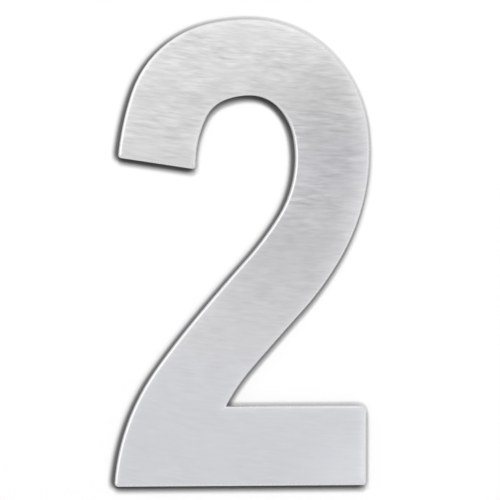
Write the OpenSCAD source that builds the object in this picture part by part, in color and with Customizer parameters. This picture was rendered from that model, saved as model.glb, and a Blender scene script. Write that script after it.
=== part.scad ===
// House number 2, cut from solid stainless plate, fixed flush to a wall by two threaded studs behind it.
// The front faces -Y and the back lies in the plane Y = 0, flat against the wall. Z is up.
// The origin is on the back, halfway between the studs.

/* [Number] */
// Height of the numeral, from the foot of its base to the crown of its bowl
number_h = 152; // [130:1:200]
// Width of the numeral across its bowl
number_w = 83; // [76:1:100]
// Width of the stroke at the crown of the bowl
stroke_w = 24.8; // [20:0.2:27]
// Height of the flat foot
foot_h = 26; // [20:0.5:30]
// Width of the flat foot, from the tail's corner to its free end
foot_w = 82.2; // [72:0.2:96]
// Thickness of the plate
plate_t = 4; // [3.5:0.5:8]

/* [Edges] */
// Radius of the softened edge round the front face
edge_r = 0.7; // [0.3:0.1:1]
// Radius of the cut corners, seen from the front
corner_r = 1; // [1:0.1:1.6]
// Radius of the upper corner at the free end of the foot
foot_corner_r = 2.2; // [1:0.1:5]
// How far the inner corner of the bowl's end hangs below a square cut
end_drop = 1.4; // [0:0.1:3]

/* [Rear studs] */
// Nominal diameter of the studs
stud_d = 4; // [3:0.5:6]
// Pitch of the studs' thread, which also sets the tapping drill
thread_pitch = 0.7; // [0.5:0.1:1]
// Length of a stud that stands out behind the plate
stud_reach = 30; // [15:1:60]
// Depth of the blind tapped hole that holds a stud
seat_depth = 2.5; // [1.5:0.25:2.5]
// Radial play between the seated end of a stud and its hole
seat_play = 0.05; // [0.05:0.05:0.15]
// Radial play between a stud and the countersunk mouth of its hole
mouth_play = 0.2; // [0.1:0.1:0.5]
// Length of the taper at the free end of a stud
stud_taper = 0.6; // [0.3:0.1:1]

/* [Hidden] */

plate_color = [0.80, 0.80, 0.82];
stud_color = [0.60, 0.61, 0.63];

// Straight pieces in each arc of the outline, in each rounded corner and in the softened edge.
arc_steps = 12;
corner_steps = 5;
edge_steps = 4;
// Cuts run this far past the surface that they open.
overrun = 1;
// Below this turn, in degrees, an arc is drawn as a straight line.
straight_turn = 0.01;

// Stations of the outer edge as [across the width, up the height, stroke width there], all as shares.
// The edge is a chain of tangent arcs that leaves the level crown on both sides and passes through them.
crown_share = 0.532;
bowl_end_shares = [
    [0.368, 0.990, 1.022],
    [0.067, 0.841, 1.024],
    [0.014, 0.703, 1.017],
];
spine_shares = [
    [0.870, 0.918, 1.002],
    [0.997, 0.762, 0.987],
    [0.897, 0.497, 0.977],
    [0.737, 0.375, 0.996],
    [0.535, 0.250, 0.985],
];
// Where the spine meets the top of the foot, as a share of the width, and the stroke width there.
notch_share = 0.438;
notch_stroke_share = 1.040;

// Places of the two studs, in the numeral's own frame: behind the crown and behind the foot.
stud_x = number_w * crown_share;
upper_stud_z = number_h - stroke_w / 2;
lower_stud_z = foot_h / 2;
pattern_z = (upper_stud_z + lower_stud_z) / 2;

// A tapped hole is drawn at the size of its tapping drill, and the end of the stud in it to suit.
stud_r = stud_d / 2;
drill_r = (stud_d - thread_pitch) / 2;
seat_r = drill_r - seat_play;
mouth_r = stud_r + mouth_play;

// Turns an angle into the range from -180 to 180 degrees.
function wrapped(angle) = (angle + 540) % 360 - 180;

// Half the turn of the arc that leaves p at this heading and ends at q.
function half_turn(p, heading, q) = wrapped(atan2(q.y - p.y, q.x - p.x) - heading);

// Headings at each of the points, along tangent arcs that leave the first one at this heading.
function headings(points, heading, i = 0) =
    i == len(points) - 1
        ? [heading]
        : let (next = heading + 2 * half_turn(points[i], heading, points[i + 1]))
            concat([heading], headings(points, next, i + 1));

// Points of the arc that leaves p at this heading and ends at q, without p itself.
function arc_points(p, heading, q) =
    let (half = half_turn(p, heading, q), radius = norm(q - p) / (2 * sin(half)))
    [for (i = [1 : arc_steps])
        abs(half) < straight_turn
            ? p + (q - p) * i / arc_steps
            : let (a = heading + 2 * half * i / arc_steps)
                p + radius * [sin(a) - sin(heading), cos(heading) - cos(a)]];

// The chain of tangent arcs through the points.
function arc_chain(points, heading) =
    let (turns = headings(points, heading))
    concat([points[0]], [for (i = [0 : len(points) - 2]) each arc_points(points[i], turns[i], points[i + 1])]);

function reversed(points) = [for (i = [len(points) - 1 : -1 : 0]) points[i]];
function unit(v) = v / norm(v);

// Points of a rounded corner between the straight lines to its two neighbours.
function corner(before, at, after, radius) =
    let (
        u = unit(before - at), v = unit(after - at),
        half = acos(u * v) / 2,
        centre = at + unit(u + v) * radius / sin(half),
        first = at + u * radius / tan(half) - centre,
        last = at + v * radius / tan(half) - centre,
        start = atan2(first.y, first.x),
        sweep = wrapped(atan2(last.y, last.x) - start)
    )
    [for (i = [0 : corner_steps])
        let (a = start + sweep * i / corner_steps) centre + radius * [cos(a), sin(a)]];

// Moves a closed clockwise outline inwards by a distance, with each of its lines kept parallel.
function inset(points, distance) =
    let (n = len(points))
    [for (i = [0 : n - 1])
        let (
            a = unit(points[i] - points[(i + n - 1) % n]),
            b = unit(points[(i + 1) % n] - points[i]),
            sum = [a.y + b.y, -a.x - b.x]
        )
        points[i] + sum * distance / (1 + a * b)];

// Points set in from the outer edge by the stroke, on the left of the travel (1) or on its right (-1).
function set_in(points, turns, shares, side) =
    [for (i = [0 : len(points) - 1])
        points[i] + side * stroke_w * shares[i] * [-sin(turns[i]), cos(turns[i])]];

// The outer edge runs from the bowl's end over the crown to the notch, and the inner edge runs beside it.
crown = [number_w * crown_share, number_h];
bowl_end = concat([crown], [for (s = bowl_end_shares) [number_w * s.x, number_h * s.y]]);
notch = [number_w * notch_share, foot_h];
spine = concat([crown], [for (s = spine_shares) [number_w * s.x, number_h * s.y]], [notch]);
bowl_end_strokes = concat([1], [for (s = bowl_end_shares) s.z]);
spine_strokes = concat([1], [for (s = spine_shares) s.z], [notch_stroke_share]);
inner_square = set_in(bowl_end, headings(bowl_end, 180), bowl_end_strokes, 1);
inner_bowl_end = [for (i = [0 : len(inner_square) - 1])
    inner_square[i] - (i == len(inner_square) - 1 ? [0, end_drop] : [0, 0])];
tail_corner = [0, 0];
inner_spine = concat(set_in(spine, headings(spine, 0), spine_strokes, -1), [tail_corner]);

function two_way(left, right) =
    let (a = arc_chain(left, 180), b = arc_chain(right, 0))
    concat(reversed(a), [for (i = [1 : len(b) - 1]) b[i]]);

outer_edge = two_way(bowl_end, spine);
inner_edge = two_way(inner_bowl_end, inner_spine);
foot_top = [foot_w, foot_h];
foot_bottom = [foot_w, 0];
last_outer = len(outer_edge) - 1;
last_inner = len(inner_edge) - 1;

// The closed outline, clockwise from the front, with its five outer corners rounded.
outline = concat(
    [for (i = [1 : last_outer]) outer_edge[i]],
    corner(outer_edge[last_outer], foot_top, foot_bottom, foot_corner_r),
    corner(foot_top, foot_bottom, tail_corner, corner_r),
    corner(foot_bottom, tail_corner, inner_edge[last_inner - 1], corner_r),
    [for (i = [last_inner - 1 : -1 : 1]) inner_edge[i]],
    corner(inner_edge[1], inner_edge[0], outer_edge[0], corner_r),
    corner(inner_edge[0], outer_edge[0], outer_edge[1], corner_r)
);

// Where the edges stand in the outline.
outline_count = len(outline);
notch_at = last_outer - 1;
inner_first_at = last_outer + 3 * (corner_steps + 1) + last_inner - 2;
function outer_at(i) = i - 1;
function inner_at(i) = inner_first_at + 1 - i;

// The face as strips between the two edges, a fan from the notch over the foot and one over the bowl's end.
face_strips = concat(
    [for (i = [1 : last_outer - 1]) [outer_at(i), outer_at(i + 1), inner_at(i + 1), inner_at(i)]],
    [for (i = [notch_at + 1 : inner_at(last_outer) - 1]) [notch_at, i, i + 1]],
    [for (i = [inner_first_at : outline_count - 2]) [0, i, i + 1]]
);

// Each ring of the plate as [inset of the outline, distance from the back].
rings = concat(
    [[0, 0]],
    [for (i = [0 : edge_steps])
        let (a = 90 * i / edge_steps)
        [edge_r * (1 - cos(a)), plate_t - edge_r * (1 - sin(a))]]
);

module plate_blank() {
    n = outline_count;
    last = len(rings) - 1;
    polyhedron(
        points = [for (r = rings) each [for (p = inset(outline, r[0])) [p.x, -r[1], p.y]]],
        faces = concat(
            [for (k = [0 : last - 1]) each [for (i = [0 : n - 1])
                let (j = (i + 1) % n)
                [k * n + i, k * n + j, (k + 1) * n + j, (k + 1) * n + i]]],
            [for (f = face_strips) [for (i = f) last * n + i]],
            [for (f = face_strips) reversed(f)]
        )
    );
}

// Everything above is drawn from the tail's corner. This moves it to the origin between the studs.
module in_part_frame() {
    translate([-stud_x, 0, -pattern_z]) children();
}

// Turns a profile round a stud's axis. Its second coordinate runs along +Y from the bottom of the hole.
module turned_at(z, profile) {
    translate([stud_x, -seat_depth, z]) rotate([-90, 0, 0]) rotate_extrude($fn = 64) polygon(profile);
}

// A blind tapped hole with a countersunk mouth.
module tapped_hole(z) {
    turned_at(z, [
        [0, 0], [drill_r, 0], [drill_r, seat_depth - (mouth_r - drill_r)],
        [mouth_r + overrun, seat_depth + overrun], [0, seat_depth + overrun]
    ]);
}

module number_plate() {
    color(plate_color)
    in_part_frame()
    difference() {
        plate_blank();
        for (z = [lower_stud_z, upper_stud_z]) tapped_hole(z);
    }
}

// A threaded stud at its nominal diameter, with its end in the hole at drill size and its free end tapered.
module stud(z) {
    length = seat_depth + stud_reach;
    color(stud_color)
    in_part_frame()
    turned_at(z, [
        [0, 0], [seat_r, 0], [seat_r, seat_depth - (stud_r - seat_r)], [stud_r, seat_depth],
        [stud_r, length - stud_taper], [stud_r - stud_taper, length], [0, length]
    ]);
}

module upper_stud() { stud(upper_stud_z); }
module lower_stud() { stud(lower_stud_z); }

number_plate();
upper_stud();
lower_stud();
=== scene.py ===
"""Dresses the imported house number 2: brushed steel plate, threaded studs, wall, camera and lamps.

The numeral hangs flat on a wall, with its front towards -Y and its back in the plane Y = 0. Everything is in
metres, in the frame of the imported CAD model, unless a name or a note says millimetres.
"""

from __future__ import annotations

import logging
import math
from dataclasses import dataclass
from enum import Enum
from typing import Callable

import bmesh
import bpy
import numpy as np
from mathutils import Matrix, Vector

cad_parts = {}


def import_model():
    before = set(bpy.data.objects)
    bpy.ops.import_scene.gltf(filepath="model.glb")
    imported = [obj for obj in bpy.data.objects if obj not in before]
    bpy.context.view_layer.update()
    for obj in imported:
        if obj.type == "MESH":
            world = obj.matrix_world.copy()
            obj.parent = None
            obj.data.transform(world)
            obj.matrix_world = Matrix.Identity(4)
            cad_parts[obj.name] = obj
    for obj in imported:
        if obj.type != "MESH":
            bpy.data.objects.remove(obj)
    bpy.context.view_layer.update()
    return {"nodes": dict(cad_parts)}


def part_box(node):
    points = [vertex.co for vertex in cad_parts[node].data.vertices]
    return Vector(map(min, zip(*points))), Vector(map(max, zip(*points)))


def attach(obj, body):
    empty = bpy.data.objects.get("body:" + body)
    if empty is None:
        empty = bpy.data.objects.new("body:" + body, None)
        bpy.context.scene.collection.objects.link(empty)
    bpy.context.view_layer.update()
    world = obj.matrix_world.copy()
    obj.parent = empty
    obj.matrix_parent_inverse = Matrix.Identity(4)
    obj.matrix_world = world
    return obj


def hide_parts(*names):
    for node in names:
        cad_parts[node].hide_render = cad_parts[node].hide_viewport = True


LOG = logging.getLogger("house_number")
ROOT_BODY = "root"
PHOTO_SIDE_PX = 500
MM = 0.001

# Points of a mesh that lie nearer than this are one point. Spun and drawn meshes need the wider distance.
MERGE_DISTANCE = 1e-7
SEAM_DISTANCE = 1e-6

BESIDE, INTO_WALL, UP = Vector((1, 0, 0)), Vector((0, 1, 0)), Vector((0, 0, 1))
# Rows of a matrix that turns a point.
MATRIX_SIZE = 3

# Names of the mesh data that the plate's finishes read.
GRAIN_UV = "grain"
RIM_DISTANCE = "rim_distance"

# Socket numbers of a Mix node that mixes colours.
MIX_SHARE, MIX_FIRST, MIX_SECOND, MIX_RESULT = 0, 6, 7, 2

# The middle of a noise, which lies between 0 and 1.
NOISE_MIDDLE = 0.5
# Parts a ray that has not bounced from one that has.
HALF_A_BOUNCE = 0.5
OPAQUE = 1.0
WHITE = (1.0, 1.0, 1.0)

Socket = bpy.types.NodeSocket
Colour = tuple[float, float, float]
Triple = tuple[float, float, float]
Pair = tuple[float, float]


class Node(Enum):
    """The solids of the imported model."""

    NUMBER_PLATE = "number_plate"
    UPPER_STUD = "upper_stud"
    LOWER_STUD = "lower_stud"


class Slot(Enum):
    """The material slots of the record."""

    BRUSHED_PLATE = "brushed_plate"
    STUD_STEEL = "stud_steel"


class PlateZone(Enum):
    """The differently worked surfaces of the plate, as indices of its material slots."""

    FACE = 0
    RIM = 1
    SIDE = 2
    BACK = 3


class LampUse(Enum):
    """What a lamp is for."""

    PAINT = "lights matt surfaces, and isn't mirrored"
    STEEL = "is mirrored in the steel, and lights nothing matt"


@dataclass(frozen=True)
class Grain:
    """A noise pattern whose cells are stretched.

    Attributes:
        cell_mm: Size of a cell along each axis, in millimetres.
        detail: Number of finer layers.
        roughness: Strength of the finer layers.
        seed: Offset that makes one pattern differ from another, in cells.
    """

    cell_mm: Triple
    detail: float = 2.0
    roughness: float = 0.5
    seed: float = 0.0


@dataclass(frozen=True)
class Spot:
    """A soft round patch of a surface.

    Attributes:
        centre: Its middle.
        radius: Distance at which it has faded out.
    """

    centre: Triple
    radius: float


@dataclass
class NodeBench:
    """Adds and wires the nodes of one material, lamp or world.

    Attributes:
        tree: The node tree that is being built.
    """

    tree: bpy.types.NodeTree

    def add(self, kind: str, inputs: dict[str | int, object] | None = None,
            **settings: object) -> bpy.types.Node:
        """Adds one node.

        Args:
            kind: The node's type name.
            inputs: Socket names or numbers, each with a value or with the output socket to link.
            **settings: Properties of the node itself.

        Returns:
            The new node.
        """
        node = self.tree.nodes.new(kind)
        for name, value in settings.items():
            setattr(node, name, value)
        for key, value in (inputs or {}).items():
            socket = node.inputs[key]
            if isinstance(value, Socket):
                self.tree.links.new(value, socket)
            else:
                socket.default_value = (*value, OPAQUE) if socket.type == "RGBA" else value
        return node

    def math(self, operation: str, *values: Socket | float, clamp: bool = False) -> Socket:
        """Adds a Math node.

        Args:
            operation: The operation's name.
            *values: Numbers or sockets, in the order of the node's inputs.
            clamp: Whether the result is kept between 0 and 1.

        Returns:
            The node's output.
        """
        inputs = dict(enumerate(values))
        return self.add("ShaderNodeMath", inputs, operation=operation, use_clamp=clamp).outputs[0]

    def ramp(self, value: Socket, low: float, high: float, to_low: float, to_high: float) -> Socket:
        """Maps a value smoothly from one range to another.

        Args:
            value: The socket to map.
            low: Start of the source range.
            high: End of the source range.
            to_low: Result at the start.
            to_high: Result at the end.

        Returns:
            The mapped value.
        """
        inputs = {"Value": value, "From Min": low, "From Max": high, "To Min": to_low, "To Max": to_high}
        return self.add("ShaderNodeMapRange", inputs, interpolation_type="SMOOTHSTEP").outputs["Result"]

    def decay(self, distance: Socket, width: float) -> Socket:
        """Returns a share that is 1 at no distance and falls by e over each width."""
        return self.math("EXPONENT", self.math("MULTIPLY", distance, -1.0 / width))

    def position(self) -> Socket:
        """Returns the place on the piece, in metres."""
        return self.add("ShaderNodeTexCoord").outputs["Object"]

    def axes(self, vector: Socket) -> tuple[Socket, ...]:
        """Returns the x, y and z sockets of a vector."""
        return tuple(self.add("ShaderNodeSeparateXYZ", {0: vector}).outputs)

    def grain(self, place: Socket, pattern: Grain) -> Socket:
        """Adds a noise pattern.

        Args:
            place: The coordinates to read, in metres.
            pattern: The pattern.

        Returns:
            The noise, about 0.5 on average.
        """
        scale = tuple(1 / side for side in Vector(pattern.cell_mm) * MM)
        offset = (pattern.seed, pattern.seed, pattern.seed)
        cells = self.add("ShaderNodeMapping", {"Vector": place, "Scale": scale, "Location": offset})
        inputs = {"Vector": cells.outputs[0], "Scale": 1.0, "Detail": pattern.detail,
                  "Roughness": pattern.roughness}
        return self.add("ShaderNodeTexNoise", inputs, noise_dimensions="3D").outputs[0]

    def summed(self, layers: list[tuple[Socket, float]]) -> Socket:
        """Adds noise layers, each centred on zero first.

        Args:
            layers: Pairs of a noise and its strength.

        Returns:
            The sum, about zero.
        """
        total: Socket | float = 0.0
        for noise, strength in layers:
            centred = self.math("SUBTRACT", noise, NOISE_MIDDLE)
            total = self.math("MULTIPLY_ADD", centred, strength, total)
        return total

    def varied(self, layers: list[tuple[Socket, float]]) -> Socket:
        """Returns the sum of noise layers as a tone, which is 1 on average."""
        return self.math("ADD", self.summed(layers), 1.0)

    def within(self, place: Socket, spot: Spot) -> Socket:
        """Marks a soft round patch.

        Args:
            place: The coordinates to read, in metres.
            spot: The patch.

        Returns:
            1 in its middle, falling to 0.
        """
        inputs = {0: place, 1: spot.centre}
        away = self.add("ShaderNodeVectorMath", inputs, operation="DISTANCE").outputs["Value"]
        return self.ramp(away, 0.0, spot.radius, 1.0, 0.0)

    def mix(self, share: Socket, first: Socket | Colour, second: Socket | Colour) -> Socket:
        """Mixes two colours.

        Args:
            share: Part of the second colour, from 0 to 1.
            first: First colour.
            second: Second colour.

        Returns:
            The mixed colour.
        """
        inputs = {MIX_SHARE: share, MIX_FIRST: first, MIX_SECOND: second}
        return self.add("ShaderNodeMix", inputs, data_type="RGBA").outputs[MIX_RESULT]

    def shaded(self, colour: Socket | Colour, tone: Socket) -> Socket:
        """Returns a colour multiplied by a tone."""
        return self.add("ShaderNodeVectorMath", {0: colour, "Scale": tone}, operation="SCALE").outputs[0]

    def bump(self, relief: Socket) -> Socket:
        """Returns the normals of a relief that is given in millimetres."""
        return self.add("ShaderNodeBump", {"Height": relief, "Distance": MM, "Strength": 1.0}).outputs[0]

    def before_paint(self, path: bpy.types.NodeOutputs) -> Socket:
        """Tells whether a ray has met no matt surface on its way.

        Args:
            path: The outputs of a Light Path node.

        Returns:
            1 if it has met none, and 0 otherwise.
        """
        return self.math("LESS_THAN", path["Diffuse Depth"], HALF_A_BOUNCE)


def new_material(name: str) -> tuple[bpy.types.Material, NodeBench]:
    """Makes an empty node material.

    Args:
        name: Name of the material.

    Returns:
        The material and the bench for its nodes.
    """
    material = bpy.data.materials.new(name)
    material.use_nodes = True
    material.node_tree.nodes.clear()
    return material, NodeBench(material.node_tree)


@dataclass(frozen=True)
class FacePoint:
    """What the finish of the face reads at each of its points.

    Attributes:
        place: The place on the piece, in metres.
        height: Its height above the origin, in metres.
        lines: Coordinates whose first axis runs along the brushing, in metres.
        from_rim: Its distance from the border of the flat front, in millimetres.
    """

    place: Socket
    height: Socket
    lines: Socket
    from_rim: Socket


@dataclass(frozen=True)
class BrushedFace:
    """Front of the plate: stainless steel brushed nearly level, deep at the bowl and fine at the foot.

    Spots and heights are in metres, and widths and depths at the rim are in millimetres. Tones are shares of
    the base colour. A fade is the pair of places between which something comes or goes. The foot's tint and
    the grey and violet spots are painted reflections, and the crown, toe, shoulder, sheen and rim tones are
    painted highlights and painted shade.

    Attributes:
        bowl_steel: Base colour of the bowl.
        painted_foot_reflection: Base colour of the foot, with a painted cooler reflection in it.
        painted_foot_tint_fade: Heights over which the foot's painted reflection gives way to the bowl's
            colour.
        painted_grey_reflection: Colour of a painted darker, greyer reflection in the middle of the bowl.
        painted_grey_spot: Where it lies.
        painted_violet_reflection: Colour of a painted faint violet reflection at the bowl's right.
        painted_violet_spot: Where it lies.
        painted_crown_highlight: Painted highlight that brightens the crown.
        painted_crown_fade: Heights over which it comes.
        painted_toe_highlight: Painted highlight that brightens the foot's free end.
        painted_toe_spot: Where it lies.
        painted_shoulder_shade: Painted shade that darkens the bowl's shoulder.
        painted_shoulder_spot: Where it lies.
        painted_sheen_tone: Painted sheen that brightens along the rim at the bowl's right.
        painted_sheen_spot: Where it lies.
        painted_sheen_fade: Distances from the rim over which it goes.
        painted_rim_highlight: Painted highlight that brightens the very rim.
        painted_rim_highlight_width: Width of it.
        roughness: Roughness between the streaks.
        dulling: How far the streaks move the roughness.
        anisotropy: How far the brushing draws highlights out.
        slope: Fall of the brushing towards the right.
        bow: How fast that fall levels off, for each metre.
        streaks: Pattern of the long streaks.
        streak_tone: Strength of them.
        hairlines: Pattern of the fine lines.
        hairline_tone: Strength of them.
        patches: Pattern by which both come and go.
        patchiness: Strength of it.
        clouds: Pattern of the broad blotches.
        cloud_tone: Strength of them.
        foot_cloud: Share of the blotches that the foot keeps.
        foot_contrast: Share of the streaks that the foot keeps.
        spine_contrast: Share of the streaks that the lower spine keeps.
        foot_fade: Heights between the foot and the spine.
        spine_fade: Heights between the lower spine and the bowl.
        rim_depth: Fall of the surface towards the rim.
        rim_width: Width of that fall.
        lip_depth: Further fall at the very rim.
        lip_width: Width of that further fall.
        grain_depth: Relief of the streaks.
    """

    bowl_steel: Colour = (0.662, 0.662, 0.662)
    # Painted reflection: the foot's cooler colour.
    painted_foot_reflection: Colour = (0.607, 0.613, 0.641)
    painted_foot_tint_fade: Pair = (-0.045, -0.012)
    # Painted reflections: a greyer middle and a faint violet at the bowl's right.
    painted_grey_reflection: Colour = (0.513, 0.513, 0.530)
    painted_grey_spot: Spot = Spot((0.014, 0.0, 0.010), 0.068)
    painted_violet_reflection: Colour = (0.495, 0.488, 0.517)
    painted_violet_spot: Spot = Spot((0.029, 0.0, 0.030), 0.022)
    # Painted highlights, painted shade and a painted sheen, as tones of the base colour.
    painted_crown_highlight: float = 0.05
    painted_crown_fade: Pair = (0.050, 0.080)
    painted_toe_highlight: float = 0.10
    painted_toe_spot: Spot = Spot((0.039, 0.0, -0.077), 0.030)
    painted_shoulder_shade: float = -0.16
    painted_shoulder_spot: Spot = Spot((0.025, 0.0, 0.050), 0.022)
    painted_sheen_tone: float = 0.11
    painted_sheen_spot: Spot = Spot((0.041, 0.0, 0.020), 0.045)
    painted_sheen_fade: Pair = (1.5, 7.0)
    painted_rim_highlight: float = 0.03
    painted_rim_highlight_width: float = 1.1
    roughness: float = 0.34
    dulling: float = 0.35
    anisotropy: float = 0.55
    slope: float = 0.080
    bow: float = 0.95
    streaks: Grain = Grain((7.6, 1.0, 1.25), detail=2.5)
    streak_tone: float = 0.52
    hairlines: Grain = Grain((3.6, 1.0, 0.60), seed=7.3)
    hairline_tone: float = 0.27
    patches: Grain = Grain((11.0, 1.0, 7.0), detail=1.0, seed=5.7)
    patchiness: float = 1.6
    clouds: Grain = Grain((26.0, 1.0, 9.0), detail=1.0, seed=3.1)
    cloud_tone: float = 0.11
    foot_cloud: float = 0.35
    foot_contrast: float = 0.22
    spine_contrast: float = 0.62
    foot_fade: Pair = (-0.062, 0.004)
    spine_fade: Pair = (0.001, 0.012)
    rim_depth: float = 0.17
    rim_width: float = 1.9
    lip_depth: float = 0.09
    lip_width: float = 0.80
    grain_depth: float = 0.004

    def build(self) -> bpy.types.Material:
        """Makes the finish.

        Returns:
            The finished material.
        """
        material, bench = new_material("brushed_face_steel")
        point = self.read_point(bench)
        brushing = self.brushing(bench, point)
        tangent = bench.add("ShaderNodeTangent", direction_type="UV_MAP", uv_map=GRAIN_UV)
        surface = bench.add("ShaderNodeBsdfPrincipled", {
            "Base Color": bench.shaded(self.steel(bench, point), self.tone(bench, point, brushing)),
            "Metallic": 1.0,
            "Roughness": bench.math("MULTIPLY_ADD", brushing, self.dulling, self.roughness, clamp=True),
            "Anisotropic": self.anisotropy,
            "Normal": bench.bump(self.relief(bench, point, brushing)),
            "Tangent": tangent.outputs[0],
        })
        bench.add("ShaderNodeOutputMaterial", {"Surface": surface.outputs[0]})
        return material

    def read_point(self, bench: NodeBench) -> FacePoint:
        """Adds what the other nodes read.

        The brushing slopes down at the left and levels off at the right, so its lines are bent coordinates.

        Args:
            bench: The material's bench.

        Returns:
            The place, height, brushing lines and distance from the rim.
        """
        place = bench.position()
        x, _, height = bench.axes(place)
        sloped = bench.math("MULTIPLY_ADD", x, self.slope, height)
        bowed = bench.math("MULTIPLY_ADD", bench.math("MULTIPLY", x, x), -self.bow, sloped)
        lines = bench.add("ShaderNodeCombineXYZ", {0: x, 1: 0.0, 2: bowed}).outputs[0]
        from_rim = bench.add("ShaderNodeAttribute", attribute_name=RIM_DISTANCE).outputs["Fac"]
        return FacePoint(place, height, lines, from_rim)

    def brushing(self, bench: NodeBench, point: FacePoint) -> Socket:
        """Adds the streaks and fine lines, which come and go in patches and fade towards the foot.

        Args:
            bench: The material's bench.
            point: What the nodes read.

        Returns:
            The brushing, about zero.
        """
        streaks = bench.grain(point.lines, self.streaks)
        hairlines = bench.grain(point.lines, self.hairlines)
        even = bench.summed([(streaks, self.streak_tone), (hairlines, self.hairline_tone)])
        patches = bench.varied([(bench.grain(point.lines, self.patches), self.patchiness)])
        below = bench.ramp(point.height, *self.foot_fade, self.foot_contrast, self.spine_contrast)
        above = bench.ramp(point.height, *self.spine_fade, 0.0, 1.0 - self.spine_contrast)
        contrast = bench.math("ADD", below, above)
        return bench.math("MULTIPLY", bench.math("MULTIPLY", even, patches), contrast)

    def tone(self, bench: NodeBench, point: FacePoint, brushing: Socket) -> Socket:
        """Adds the broad tones to the brushing: random clouds, painted highlights and painted shade.

        Args:
            bench: The material's bench.
            point: What the nodes read.
            brushing: The brushing, about zero.

        Returns:
            The tone, about 1.
        """
        clouds = bench.summed([(bench.grain(point.lines, self.clouds), self.cloud_tone)])
        kept = bench.ramp(point.height, *self.foot_fade, self.foot_cloud, 1.0)
        broad = bench.math("MULTIPLY", clouds, kept)
        # Painted highlight: the crown is made lighter.
        crown = bench.ramp(point.height, *self.painted_crown_fade, 0.0, self.painted_crown_highlight)
        tone = bench.math("ADD", bench.math("ADD", bench.math("ADD", brushing, broad), 1.0), crown)
        # Painted sheen along the rim at the bowl's right, painted highlights on the toe and the very rim,
        # and painted shade on the shoulder.
        sheen = bench.math("MULTIPLY", bench.ramp(point.from_rim, *self.painted_sheen_fade, 1.0, 0.0),
                           bench.within(point.place, self.painted_sheen_spot))
        for share, strength in (
            (bench.within(point.place, self.painted_toe_spot), self.painted_toe_highlight),
            (bench.within(point.place, self.painted_shoulder_spot), self.painted_shoulder_shade),
            (bench.decay(point.from_rim, self.painted_rim_highlight_width), self.painted_rim_highlight),
            (sheen, self.painted_sheen_tone),
        ):
            tone = bench.math("MULTIPLY_ADD", share, strength, tone)
        return tone

    def steel(self, bench: NodeBench, point: FacePoint) -> Socket:
        """Adds the base colour, with painted cool, grey and violet reflections in it.

        Args:
            bench: The material's bench.
            point: What the nodes read.

        Returns:
            The colour before its tone.
        """
        # Painted reflections: a cooler foot, a greyer middle and a faint violet at the bowl's right.
        steel = bench.mix(bench.ramp(point.height, *self.painted_foot_tint_fade, 1.0, 0.0), self.bowl_steel,
                          self.painted_foot_reflection)
        steel = bench.mix(bench.within(point.place, self.painted_grey_spot), steel, self.painted_grey_reflection)
        return bench.mix(bench.within(point.place, self.painted_violet_spot), steel, self.painted_violet_reflection)

    def relief(self, bench: NodeBench, point: FacePoint, brushing: Socket) -> Socket:
        """Adds the relief of the brushing and of the rim, which the polishing has worn down.

        Args:
            bench: The material's bench.
            point: What the nodes read.
            brushing: The brushing, about zero.

        Returns:
            The relief, in millimetres.
        """
        worn = bench.math("MULTIPLY", bench.decay(point.from_rim, self.rim_width), -self.rim_depth)
        lip = bench.decay(point.from_rim, self.lip_width)
        worn = bench.math("MULTIPLY_ADD", lip, -self.lip_depth, worn)
        return bench.math("MULTIPLY_ADD", brushing, self.grain_depth, worn)


@dataclass(frozen=True)
class UnbrushedSteel:
    """Steel with a grain that tones, dulls and roughens it, and broader clouds that only tone it.

    Attributes:
        name: Name of the material.
        steel: Base colour.
        roughness: Mean roughness.
        dulling: Range over which the grain moves the roughness.
        grain: Pattern of the grain.
        grain_tone: Strength of the grain, as a share of the base colour.
        grain_depth: Relief of the grain, in millimetres.
        clouds: Pattern of the clouds, if there are any.
        cloud_tone: Strength of the clouds, as a share of the base colour.
    """

    name: str
    steel: Colour
    roughness: float
    dulling: float
    grain: Grain
    grain_tone: float
    grain_depth: float
    clouds: Grain | None = None
    cloud_tone: float = 0.0

    def build(self) -> bpy.types.Material:
        """Makes the finish.

        Returns:
            The finished material.
        """
        material, bench = new_material(self.name)
        place = bench.position()
        grain = bench.grain(place, self.grain)
        layers = [(grain, self.grain_tone)]
        if self.clouds is not None:
            layers.append((bench.grain(place, self.clouds), self.cloud_tone))
        smoothest = self.roughness - self.dulling * NOISE_MIDDLE
        surface = bench.add("ShaderNodeBsdfPrincipled", {
            "Base Color": bench.shaded(self.steel, bench.varied(layers)),
            "Metallic": 1.0,
            "Roughness": bench.math("MULTIPLY_ADD", grain, self.dulling, smoothest),
            "Normal": bench.bump(bench.math("MULTIPLY", grain, self.grain_depth)),
        })
        bench.add("ShaderNodeOutputMaterial", {"Surface": surface.outputs[0]})
        return material


@dataclass(frozen=True)
class SoftenedRim(UnbrushedSteel):
    """Softened edge of the front: polished, with fine lines across the thickness."""

    name: str = "softened_rim_steel"
    steel: Colour = (0.670, 0.673, 0.685)
    roughness: float = 0.28
    dulling: float = 0.12
    grain: Grain = Grain((0.35, 9.0, 0.35))
    grain_tone: float = 0.16
    grain_depth: float = 0.004
    clouds: Grain = Grain((6.0, 6.0, 6.0), detail=1.0, seed=4.4)
    cloud_tone: float = 0.08


@dataclass(frozen=True)
class CutSide(SoftenedRim):
    """Side walls of the plate: the same lines as on the rim, darker and left as cut."""

    name: str = "cut_side_steel"
    steel: Colour = (0.450, 0.454, 0.465)
    roughness: float = 0.38


@dataclass(frozen=True)
class MillBack(UnbrushedSteel):
    """Back of the plate: unbrushed mill finish, blotched, with faint rolling lines as its clouds."""

    name: str = "mill_back_steel"
    steel: Colour = (0.560, 0.565, 0.578)
    roughness: float = 0.42
    dulling: float = 0.20
    grain: Grain = Grain((7.0, 7.0, 7.0), detail=4.0, roughness=0.6, seed=2.2)
    grain_tone: float = 0.16
    grain_depth: float = 0.010
    clouds: Grain = Grain((0.5, 1.0, 30.0), detail=3.0)
    cloud_tone: float = 0.10


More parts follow.
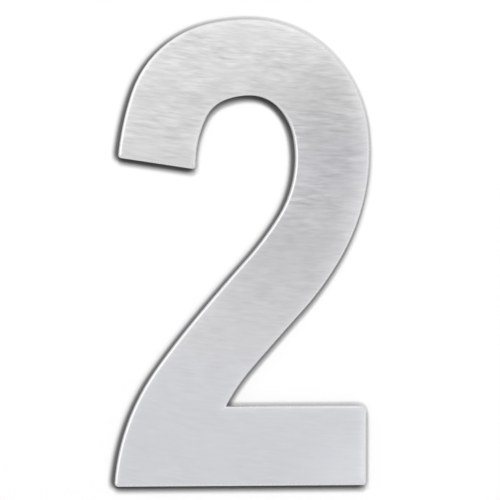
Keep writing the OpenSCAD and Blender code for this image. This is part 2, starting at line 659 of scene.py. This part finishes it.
@dataclass(frozen=True)
class RolledThread(UnbrushedSteel):
    """Threaded studs: bright rolled stainless."""

    name: str = "rolled_thread_steel"
    steel: Colour = (0.520, 0.525, 0.540)
    roughness: float = 0.28
    dulling: float = 0.16
    grain: Grain = Grain((0.7, 2.5, 0.7), detail=3.0, roughness=0.6)
    grain_tone: float = 0.16
    grain_depth: float = 0.004


@dataclass(frozen=True)
class WallPaint:
    """Backdrop: white paint with the lamps' shadow and painted contact shade, see-through from behind.

    The contact shade is painted shade: two ambient occlusion nodes darken the paint beside the plate, as a
    soft light from the upper right would leave a dark line along the joint: broad below and at the left, and
    thin above and at the right.

    Attributes:
        white: Colour of the paint in the open.
        painted_light_from: Direction of the soft light that the painted shade imitates.
        painted_shade_reach: How far from the plate the painted soft shade reaches, in metres.
        painted_shade_depth: Strength of that painted shade where it is full.
        painted_shade_full: Covered share of the view at which it is full.
        painted_joint_shade_reach: How far the painted dark line along the joint reaches, in metres.
        painted_joint_shade_depth: Strength of that line where it is full.
        painted_joint_shade_full: Covered share of the view at which it is full.
        mirrored_share: Share of the painted shade that the steel mirrors.
        samples: Number of rays that look for the plate.
    """

    white: float = 0.96
    painted_light_from: Triple = (0.707, -1.0, 0.707)
    painted_shade_reach: float = 0.0028
    painted_shade_depth: float = 0.75
    painted_shade_full: float = 0.50
    painted_joint_shade_reach: float = 0.0014
    painted_joint_shade_depth: float = 0.24
    painted_joint_shade_full: float = 0.12
    mirrored_share: float = 0.25
    samples: int = 16

    def build(self) -> bpy.types.Material:
        """Makes the finish.

        Returns:
            The finished material.
        """
        material, bench = new_material("wall_paint")
        towards_light = dict(enumerate(Vector(self.painted_light_from).normalized()))
        leaning = {"Normal": bench.add("ShaderNodeCombineXYZ", towards_light).outputs[0]}
        # Painted shade: ambient occlusion darkens the paint beside the plate, broadly towards the light's
        # far side and thinly along the joint.
        soft = self.clearness(bench, self.painted_shade_reach, self.painted_shade_full, self.painted_shade_depth, leaning)
        joint = self.clearness(bench, self.painted_joint_shade_reach, self.painted_joint_shade_full, self.painted_joint_shade_depth, {})
        shade = bench.math("SUBTRACT", 1.0, bench.math("MULTIPLY", soft, joint))
        path = bench.add("ShaderNodeLightPath").outputs
        seen = bench.math("MULTIPLY_ADD", path["Is Glossy Ray"], self.mirrored_share, path["Is Camera Ray"])
        left = bench.math("SUBTRACT", 1.0, bench.math("MULTIPLY", shade, seen))
        front = bench.add("ShaderNodeBsdfDiffuse", {"Color": bench.math("MULTIPLY", left, self.white)})
        clear = bench.add("ShaderNodeBsdfTransparent")
        behind = bench.add("ShaderNodeNewGeometry").outputs["Backfacing"]
        surface = bench.add("ShaderNodeMixShader", {0: behind, 1: front.outputs[0], 2: clear.outputs[0]})
        bench.add("ShaderNodeOutputMaterial", {"Surface": surface.outputs[0]})
        return material

    def clearness(self, bench: NodeBench, reach: float, full: float, depth: float,
                  lean: dict[str, Socket]) -> Socket:
        """Paints shade beside the plate: tells how much of the paint's white a place beside the plate keeps.

        Args:
            bench: The material's bench.
            reach: How far from the plate the painted shade reaches, in metres.
            full: Covered share of the view at which the shade is full.
            depth: Strength of the full shade.
            lean: Socket that turns the view towards the light, if any.

        Returns:
            1 in the open, and less beside the plate.
        """
        inputs = {"Distance": reach, **lean}
        openness = bench.add("ShaderNodeAmbientOcclusion", inputs, samples=self.samples).outputs["AO"]
        return bench.ramp(openness, 1.0 - full, 1.0, 1.0 - depth, 1.0)


def mark_edges(edit: bmesh.types.BMesh, limit: float,
               is_sharp: Callable[[bmesh.types.BMEdge], bool] | None = None) -> None:
    """Shades a mesh smooth, apart from its sharp edges.

    Args:
        edit: The mesh.
        limit: Turn between two faces above which their edge is sharp, in radians.
        is_sharp: Optional test that marks further edges as sharp.
    """
    for face in edit.faces:
        face.smooth = True
    for edge in edit.edges:
        turned = edge.is_manifold and edge.calc_face_angle(0.0) > limit
        edge.smooth = not (turned or (is_sharp is not None and is_sharp(edge)))


def placed(edit: bmesh.types.BMesh, name: str, materials: list[bpy.types.Material]) -> bpy.types.Object:
    """Turns an edited mesh into an object of the scene.

    Args:
        edit: The mesh, which is freed.
        name: Name of the object and its mesh.
        materials: Its materials, in the order of its material indices.

    Returns:
        The object.
    """
    mesh = bpy.data.meshes.new(name)
    edit.to_mesh(mesh)
    edit.free()
    for material in materials:
        mesh.materials.append(material)
    piece = bpy.data.objects.new(name, mesh)
    bpy.context.scene.collection.objects.link(piece)
    return piece


def stand_in(piece: bpy.types.Object, replaced: Node) -> bpy.types.Object:
    """Lets a piece stand for a CAD node.

    Args:
        piece: The piece.
        replaced: The CAD node that it replaces.

    Returns:
        The same piece.
    """
    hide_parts(replaced.value)
    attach(piece, ROOT_BODY)
    return piece


@dataclass
class NumberPlate:
    """The numeral: the CAD plate with a fine mesh on its front, and a finish for each worked surface.

    Lengths are in metres.

    Attributes:
        source: The CAD plate.
        cell: Side of the cells that the front is cut into.
        flat_tolerance: How far the middle of a face may lie from the front or the back and belong to it.
        level: Cosine of the tilt below which a face counts as level.
        tilted: Cosine of the tilt above which a face belongs to the side.
        sharp_turn: Turn above which an edge is sharp, in radians.
    """

    source: bpy.types.Object
    cell: float = 1.5 * MM
    flat_tolerance: float = 0.02 * MM
    level: float = 0.999
    tilted: float = 0.02
    sharp_turn: float = math.radians(32)

    def build(self) -> bpy.types.Object:
        """Makes the plate.

        Returns:
            The dressed plate.
        """
        edit = bmesh.new()
        edit.from_mesh(self.source.data)
        bmesh.ops.remove_doubles(edit, verts=edit.verts, dist=MERGE_DISTANCE)
        low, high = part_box(Node.NUMBER_PLATE.value)
        self.divide_face(edit, low, high)
        self.sort_zones(edit, low, high)
        self.measure_rim(edit)
        self.lay_grain(edit)
        mark_edges(edit, self.sharp_turn, self.bounds_face)
        finishes = {
            PlateZone.FACE: BrushedFace(), PlateZone.RIM: SoftenedRim(),
            PlateZone.SIDE: CutSide(), PlateZone.BACK: MillBack(),
        }
        plate = placed(edit, "numeral_two_plate", [finishes[zone].build() for zone in PlateZone])
        return stand_in(plate, Node.NUMBER_PLATE)

    def in_front(self, face: bmesh.types.BMFace, low: Vector) -> bool:
        """Tells whether a face lies in the flat front."""
        return -face.normal.y > self.level and face.calc_center_median().y < low.y + self.flat_tolerance

    def bounds_face(self, edge: bmesh.types.BMEdge) -> bool:
        """Tells whether an edge lies between the flat front and another zone."""
        zones = {face.material_index for face in edge.link_faces}
        return PlateZone.FACE.value in zones and len(zones) > 1

    def divide_face(self, edit: bmesh.types.BMesh, low: Vector, high: Vector) -> None:
        """Cuts the flat front into small cells, so that the distance from the rim can be stored in it.

        Args:
            edit: The plate's mesh.
            low: Lowest corner of the plate.
            high: Highest corner of the plate.
        """
        front = [f for f in edit.faces if self.in_front(f, low)]
        part = [*{v for f in front for v in f.verts}, *{e for f in front for e in f.edges}, *front]
        for axis in (BESIDE, UP):
            start, end = low.dot(axis), high.dot(axis)
            for i in range(1, math.ceil((end - start) / self.cell)):
                part = bmesh.ops.bisect_plane(edit, geom=part, dist=MERGE_DISTANCE, plane_no=axis,
                                              plane_co=axis * (start + i * self.cell))["geom"]

    def sort_zones(self, edit: bmesh.types.BMesh, low: Vector, high: Vector) -> None:
        """Gives each face the material index of its zone.

        Args:
            edit: The plate's mesh.
            low: Lowest corner of the plate.
            high: Highest corner of the plate.
        """
        for face in edit.faces:
            if self.in_front(face, low):
                zone = PlateZone.FACE
            elif -face.normal.y > self.tilted:
                zone = PlateZone.RIM
            elif face.normal.y > self.level and face.calc_center_median().y > high.y - self.flat_tolerance:
                zone = PlateZone.BACK
            else:
                zone = PlateZone.SIDE
            face.material_index = zone.value

    def measure_rim(self, edit: bmesh.types.BMesh) -> None:
        """Stores each point's distance from the border of the flat front, in millimetres.

        Args:
            edit: The plate's mesh, with its zones sorted.
        """
        layer = edit.verts.layers.float.new(RIM_DISTANCE)
        border = [e for e in edit.edges if self.bounds_face(e)]
        first = np.array([e.verts[0].co.xz for e in border])
        along = np.array([e.verts[1].co.xz for e in border]) - first
        length_squared = (along ** 2).sum(axis=1)
        flat = [f for f in edit.faces if f.material_index == PlateZone.FACE.value]
        for vert in {v for f in flat for v in f.verts}:
            offset = np.array(vert.co.xz) - first
            share = np.clip((offset * along).sum(axis=1) / length_squared, 0, 1)
            gaps = offset - along * share[:, np.newaxis]
            vert[layer] = float(np.sqrt((gaps ** 2).sum(axis=1).min())) / MM

    def lay_grain(self, edit: bmesh.types.BMesh) -> None:
        """Lays a flat UV map over the plate. Its U runs up the numeral, across the brushing.

        Args:
            edit: The plate's mesh.
        """
        layer = edit.loops.layers.uv.new(GRAIN_UV)
        for face in edit.faces:
            for loop in face.loops:
                loop[layer].uv = loop.vert.co.zx


@dataclass
class ThreadedStud:
    """A metric stud behind the plate, with a true helical thread.

    Lengths are in metres.

    Attributes:
        node: The CAD node that the stud stands for.
        pitch: Pitch of the thread.
        root_drop: Fall of the diameter from the crest to the root, in pitches.
        root_flat: Width of the flat root, in pitches.
        crest_flat: Width of the flat crest, in pitches.
        spare_turns: Turns that are wound past the two ends together, and cut off again.
        steps_per_turn: Number of steps in a turn.
        end_tolerance: How far a point may lie from the plane of an end and belong to its border.
        seat_play: Radial play of the end in its blind hole, which has the thread's tapping drill.
        tip_taper: Length of the taper at the free end.
        sharp_turn: Turn above which an edge is sharp, in radians.
    """

    node: Node
    pitch: float = 0.7 * MM
    root_drop: float = 1.2268
    root_flat: float = 0.25
    crest_flat: float = 0.125
    spare_turns: int = 2
    steps_per_turn: int = 28
    end_tolerance: float = 0.002 * MM
    seat_play: float = 0.05 * MM
    tip_taper: float = 0.6 * MM
    sharp_turn: float = math.radians(35)

    def build(self, material: bpy.types.Material) -> bpy.types.Object:
        """Makes the stud.

        Args:
            material: Its finish.

        Returns:
            The finished stud.
        """
        low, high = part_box(self.node.value)
        axis_point = (low + high) / 2
        radius = (high.z - low.z) / 2
        edit = bmesh.new()
        self.wind(edit, Vector((axis_point.x, low.y - self.pitch, axis_point.z)), radius, high.y - low.y)
        self.trim(edit, low.y, high.y)
        self.fit(edit, axis_point, radius, high.y)
        mark_edges(edit, self.sharp_turn)
        stud = placed(edit, self.node.value + "_threaded", [material])
        return stand_in(stud, self.node)

    def wind(self, edit: bmesh.types.BMesh, start: Vector, radius: float, length: float) -> None:
        """Spins the thread's profile along its helix.

        Args:
            edit: The empty mesh.
            start: A point on the axis, one pitch before the stud.
            radius: Nominal radius of the thread.
            length: Length of the stud.
        """
        root = radius - self.root_drop * self.pitch / 2
        flank = (1.0 - self.root_flat - self.crest_flat) / 2
        crest = self.root_flat + flank
        profile = ((root, 0.0), (root, self.root_flat), (radius, crest), (radius, crest + self.crest_flat),
                   (root, 1.0))
        verts = [edit.verts.new(start + Vector((r, share * self.pitch, 0))) for r, share in profile]
        edges = [edit.edges.new(pair) for pair in zip(verts, verts[1:])]
        turns = math.ceil(length / self.pitch) + self.spare_turns
        bmesh.ops.spin(edit, geom=[*verts, *edges], cent=start, axis=INTO_WALL, angle=math.tau * turns,
                       dvec=INTO_WALL * (self.pitch / self.steps_per_turn),
                       steps=self.steps_per_turn * turns, use_merge=False)
        bmesh.ops.remove_doubles(edit, verts=edit.verts, dist=SEAM_DISTANCE)

    def trim(self, edit: bmesh.types.BMesh, first: float, last: float) -> None:
        """Cuts the thread to length and closes its ends.

        Args:
            edit: The thread.
            first: Where the stud starts along Y.
            last: Where the stud ends along Y.
        """
        for place, outwards in ((first, -INTO_WALL), (last, INTO_WALL)):
            geometry = [*edit.verts, *edit.edges, *edit.faces]
            bmesh.ops.bisect_plane(edit, geom=geometry, dist=MERGE_DISTANCE, plane_co=INTO_WALL * place,
                                   plane_no=outwards, clear_outer=True)
            end = [e for e in edit.edges if e.is_boundary
                   and all(abs(v.co.y - place) < self.end_tolerance for v in e.verts)]
            bmesh.ops.edgeloop_fill(edit, edges=end)
        bmesh.ops.recalc_face_normals(edit, faces=edit.faces)

    def fit(self, edit: bmesh.types.BMesh, axis_point: Vector, radius: float, last: float) -> None:
        """Keeps the thread inside the seat in the plate and the taper at the tip.

        Args:
            edit: The thread.
            axis_point: A point on the axis.
            radius: Nominal radius.
            last: Where the stud ends along Y.
        """
        seat = radius - self.pitch / 2 - self.seat_play
        for vert in edit.verts:
            from_axis = Vector((vert.co.x - axis_point.x, 0, vert.co.z - axis_point.z))
            shoulder = seat + max(0.0, vert.co.y + (radius - seat))
            tip = radius - self.tip_taper + (last - vert.co.y)
            limit = min(radius, shoulder, tip)
            if from_axis.length > limit:
                from_axis.length = limit
                vert.co = Vector((axis_point.x, vert.co.y, axis_point.z)) + from_axis


@dataclass
class Wall:
    """The white wall behind the numeral, open where the plate covers it, so that the back stays lit.

    Lengths are in metres.

    Attributes:
        near_half: Half the side of the square round the numeral that is filled first.
        far_half: Half the side of the whole wall.
        corners: Number of its corners.
        flat_tolerance: How far a point of the plate's back may lie from the wall's plane.
        standing: Cosine of the tilt below which a face of the plate stands on the wall.
        facing: Cosine of the tilt above which a face of the plate lies on the wall.
    """

    near_half: float = 0.13
    far_half: float = 1.6
    corners: int = 4
    flat_tolerance: float = 0.02 * MM
    standing: float = 0.01
    facing: float = 0.99

    def build(self, plate: bpy.types.Object) -> bpy.types.Object:
        """Makes the wall.

        Args:
            plate: The CAD plate, whose back edge bounds the opening.

        Returns:
            The wall.
        """
        edit = bmesh.new()
        for first, second in self.back_edge(plate):
            edit.edges.new((edit.verts.new(first), edit.verts.new(second)))
        near = bmesh.ops.create_circle(edit, segments=self.corners, radius=self.near_half * math.sqrt(2))
        bmesh.ops.rotate(edit, verts=near["verts"], matrix=self.upright())
        bmesh.ops.remove_doubles(edit, verts=edit.verts, dist=SEAM_DISTANCE)
        bmesh.ops.triangle_fill(edit, edges=edit.edges, use_beauty=True, use_dissolve=False)
        border = [e for e in edit.edges if e.is_boundary
                  and all(v.co.length > self.near_half for v in e.verts)]
        spread = bmesh.ops.extrude_edge_only(edit, edges=border)["geom"]
        outer = [g for g in spread if isinstance(g, bmesh.types.BMVert)]
        bmesh.ops.scale(edit, verts=outer, vec=(BESIDE + INTO_WALL + UP) * (self.far_half / self.near_half))
        for face in edit.faces:
            if face.normal.y > 0:
                face.normal_flip()
        wall = placed(edit, "wall", [WallPaint().build()])
        return wall

    def upright(self) -> Matrix:
        """Returns the turn that stands a level square on the wall, with its sides level and plumb."""
        squared = Matrix.Rotation(math.pi / self.corners, MATRIX_SIZE, "Z")
        return Matrix.Rotation(math.pi / 2, MATRIX_SIZE, "X") @ squared

    def back_edge(self, plate: bpy.types.Object) -> list[tuple[Vector, Vector]]:
        """Finds the outer edge of the plate's back.

        Args:
            plate: The CAD plate.

        Returns:
            The ends of each piece of the edge.
        """
        edit = bmesh.new()
        edit.from_mesh(plate.data)
        bmesh.ops.remove_doubles(edit, verts=edit.verts, dist=MERGE_DISTANCE)
        pieces = []
        for edge in edit.edges:
            if edge.is_manifold and all(abs(v.co.y) < self.flat_tolerance for v in edge.verts):
                side, back = sorted(f.normal.y for f in edge.link_faces)
                if abs(side) < self.standing and back > self.facing:
                    pieces.append(tuple(v.co.copy() for v in edge.verts))
        edit.free()
        return pieces


@dataclass(frozen=True)
class Lamp:
    """A rectangular lamp that faces the wall squarely, or the numeral if only the steel shows it.

    Attributes:
        name: Name of the lamp.
        place: Its centre, in metres.
        radiance: Its brightness, where 1 is white.
        use: What it is for.
        size: Its width and height, in metres.
    """

    name: str
    place: Triple
    radiance: float
    use: LampUse
    size: Pair = (1.25, 1.25)

    def build(self) -> bpy.types.Object:
        """Makes the lamp.

        Returns:
            The lamp.
        """
        width, height = self.size
        lights_paint = self.use is LampUse.PAINT
        data = bpy.data.lights.new(self.name, "AREA")
        data.shape = "RECTANGLE"
        data.size, data.size_y = width, height
        data.energy = self.radiance * math.pi * width * height
        lamp = bpy.data.objects.new(self.name, data)
        lamp.location = self.place
        aim = INTO_WALL if lights_paint else -Vector(self.place)
        lamp.rotation_euler = aim.to_track_quat("-Z", "Y").to_euler()
        lamp.visible_camera = False
        lamp.visible_diffuse = lights_paint
        lamp.visible_glossy = not lights_paint
        if not lights_paint:
            self.keep_off_paint(data)
        bpy.context.scene.collection.objects.link(lamp)
        return lamp

    def keep_off_paint(self, data: bpy.types.Light) -> None:
        """Stops the lamp from lighting matt surfaces by way of the steel.

        Args:
            data: The lamp's data.
        """
        data.use_nodes = True
        data.node_tree.nodes.clear()
        bench = NodeBench(data.node_tree)
        straight = bench.before_paint(bench.add("ShaderNodeLightPath").outputs)
        light = bench.add("ShaderNodeEmission", {"Strength": straight})
        bench.add("ShaderNodeOutputLight", {"Surface": light.outputs[0]})


@dataclass
class Studio:
    """Camera, world and lamps.

    Lengths are in metres and angles in degrees.

    Attributes:
        camera_azimuth: Turn of the camera round the numeral, from straight in front.
        camera_elevation: Height of the camera, as an angle.
        camera_roll: Turn of the camera about its own axis.
        camera_distance: How far it stands from the point that it looks at.
        camera_aim: The point that it looks at.
        camera_clip: Nearest and furthest distance that it sees.
        px_per_metre: Scale of the picture at the point that it looks at.
        sensor: Width of its sensor, in millimetres.
        ambient: Strength of the soft light from all round.
        background: Strength of the surround that is seen, where 1 is white.
        lamps: The lamps.
    """

    camera_azimuth: float = -4.95
    camera_elevation: float = 0.96
    camera_roll: float = 0.044
    camera_distance: float = 1.094
    camera_aim: Triple = (0.00017, 0.0, 0.00050)
    camera_clip: Pair = (0.01, 50.0)
    px_per_metre: float = 3062.8
    sensor: float = 36.0
    ambient: float = 0.25
    background: float = 1.0
    lamps: tuple[Lamp, ...] = (
        Lamp("key", (2.50, -5.0, 1.25), 21.5, LampUse.PAINT),
        Lamp("high_lamp", (-0.25, -5.0, 3.75), 32.2, LampUse.PAINT),
        Lamp("left_lamp", (-2.00, -5.0, 2.50), 19.6, LampUse.PAINT),
        Lamp("front_lamp", (1.25, -5.0, -0.25), 5.9, LampUse.PAINT),
        Lamp("left_box", (-1.05, -0.95, 0.42), 0.65, LampUse.STEEL, (1.5, 1.5)),
        Lamp("right_box", (0.95, -1.5, 0.1), 0.20, LampUse.STEEL, (1.1, 1.4)),
        Lamp("top_box", (0.1, -1.3, 1.05), 0.28, LampUse.STEEL, (1.4, 1.2)),
    )

    def build(self) -> None:
        """Makes the camera, the world and the lamps."""
        self.place_camera()
        self.fill_world()
        for lamp in self.lamps:
            lamp.build()
            LOG.info("%s: %s", lamp.name, lamp.use.value)
        bpy.context.scene.view_settings.view_transform = "Standard"

    def place_camera(self) -> None:
        """Places a long lens where the photograph was taken from."""
        azimuth, elevation = math.radians(self.camera_azimuth), math.radians(self.camera_elevation)
        back = Vector((math.sin(azimuth) * math.cos(elevation), -math.cos(azimuth) * math.cos(elevation),
                       math.sin(elevation)))
        data = bpy.data.cameras.new("camera")
        data.sensor_width = self.sensor
        data.lens = self.sensor * self.px_per_metre * self.camera_distance / PHOTO_SIDE_PX
        data.clip_start, data.clip_end = self.camera_clip
        camera = bpy.data.objects.new("camera", data)
        camera.location = Vector(self.camera_aim) + back * self.camera_distance
        camera.rotation_euler = (-back).to_track_quat("-Z", "Y").to_euler()
        camera.rotation_euler.rotate_axis("Z", math.radians(self.camera_roll))
        bpy.context.scene.collection.objects.link(camera)
        bpy.context.scene.camera = camera
        LOG.info("camera: %.0f mm lens at %.2f m", data.lens, self.camera_distance)

    def fill_world(self) -> None:
        """Makes a white surround that the camera and polished metal see, and that lights paint softly."""
        world = bpy.data.worlds.new("surround")
        world.use_nodes = True
        world.node_tree.nodes.clear()
        bench = NodeBench(world.node_tree)
        path = bench.add("ShaderNodeLightPath").outputs
        mirrored = bench.math("MAXIMUM", path["Is Glossy Ray"], path["Is Transmission Ray"])
        seen = bench.math("MULTIPLY_ADD", mirrored, bench.before_paint(path), path["Is Camera Ray"],
                          clamp=True)
        soft = bench.add("ShaderNodeBackground", {"Color": WHITE, "Strength": self.ambient})
        white = bench.add("ShaderNodeBackground", {"Color": WHITE, "Strength": self.background})
        surface = bench.add("ShaderNodeMixShader", {0: seen, 1: soft.outputs[0], 2: white.outputs[0]})
        bench.add("ShaderNodeOutputWorld", {"Surface": surface.outputs[0]})
        bpy.context.scene.world = world


def report(piece: bpy.types.Object) -> None:
    """Logs a finished piece and how many faces it has."""
    LOG.info("%s: %d faces", piece.name, len(piece.data.polygons))


def main() -> None:
    """Builds the studio, the wall and the dressed numeral, and reports each piece."""
    logging.basicConfig(level=logging.INFO, format="%(name)s: %(message)s")
    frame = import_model()
    Studio().build()
    plate_node = frame["nodes"][Node.NUMBER_PLATE.value]
    report(Wall().build(plate_node))
    report(NumberPlate(plate_node).build())
    thread = RolledThread().build()
    for node in (Node.UPPER_STUD, Node.LOWER_STUD):
        report(ThreadedStud(node).build(thread))


if __name__ == "__main__":
    main()
